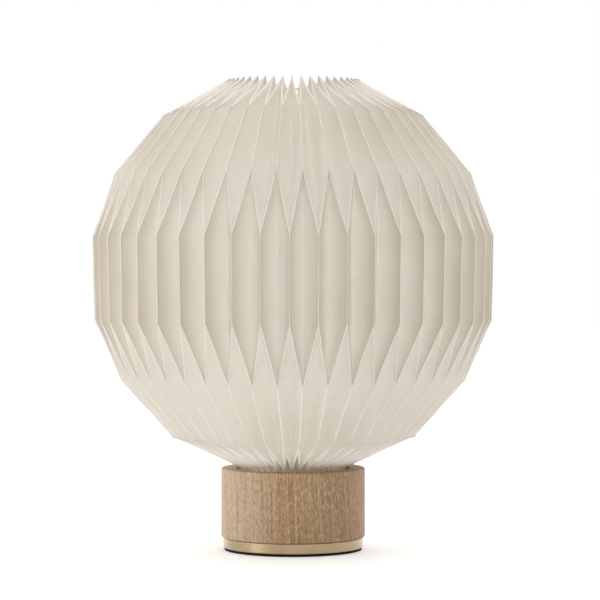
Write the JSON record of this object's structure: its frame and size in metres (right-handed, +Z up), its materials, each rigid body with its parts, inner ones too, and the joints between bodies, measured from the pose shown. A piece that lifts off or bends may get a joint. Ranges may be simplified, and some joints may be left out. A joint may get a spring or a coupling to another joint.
{
  "type": "pleated table lamp",
  "caption": "Table lamp with a pleated plastic globe shade that lifts off a turned oak base with a brass ring, and a screw-in bulb in a lampholder.",
  "frame": {"origin": "middle of the face that the lamp stands on, under the lamp's axis", "axes": "+Z up along the lamp's axis, -Y towards the front, the cord bush at +Y"},
  "size_m": [0.3196, 0.32, 0.3754],
  "materials": {
    "ivory_sheet": "translucent ivory plastic sheet, satin",
    "gather_nylon": "clear nylon",
    "oak": "oak, matt oiled",
    "satin_brass": "satin, brushed round",
    "black_rubber": "matt",
    "zinc_steel": "zinc plated",
    "grey_iron": "as cast",
    "white_carrier": "satin ivory powder coat",
    "black_plastic": "matt",
    "white_holder": "moulded, satin",
    "white_ceramic": "unglazed",
    "contact_brass": "bare",
    "nickel": "nickel plated",
    "opal_dome": "opal, frosted",
    "white_housing": "satin",
    "board_metal": "white lacquer",
    "chip_yellow": "matt",
    "cap_metal": "rolled, bright",
    "black_glaze": "glassy",
    "solder": "dull"
  },
  "bodies": {
    "base": {"foot_ring": "black_rubber", "brass_ring": "satin_brass", "wood_base": "oak", "base_plate": "zinc_steel", "base_screws": "zinc_steel", "ballast": "grey_iron", "nipple": "zinc_steel", "lower_washer": "zinc_steel", "lower_nut": "zinc_steel", "shade_carrier": "white_carrier", "upper_washer": "zinc_steel", "upper_nut": "zinc_steel", "cord_bush": "black_plastic", "holder_cap": "white_holder", "holder_lock_screw": "zinc_steel", "holder_insert": "white_ceramic", "terminal_screws": "contact_brass", "screw_shell": "nickel", "centre_contact": "contact_brass", "holder_sleeve": "white_holder"},
    "shade": {"pleated_shade": "ivory_sheet", "bottom_gather_ring": "gather_nylon", "top_gather_ring": "gather_nylon"},
    "bulb": {"bulb_dome": "opal_dome", "bulb_housing": "white_housing", "led_board": "board_metal", "led_chips": "chip_yellow", "bulb_cap": "cap_metal", "bulb_insulator": "black_glaze", "bulb_tip": "solder"}
  },
  "joints": [
    {"name": "shade_lift", "type": "slide", "parent": "base", "child": "shade", "axis": [0, 0, 1], "range_m": [0, 0.16]},
    {"name": "bulb_lift", "type": "slide", "parent": "base", "child": "bulb", "axis": [0, 0, 1], "range_m": [0, 0.3]}
  ]
}
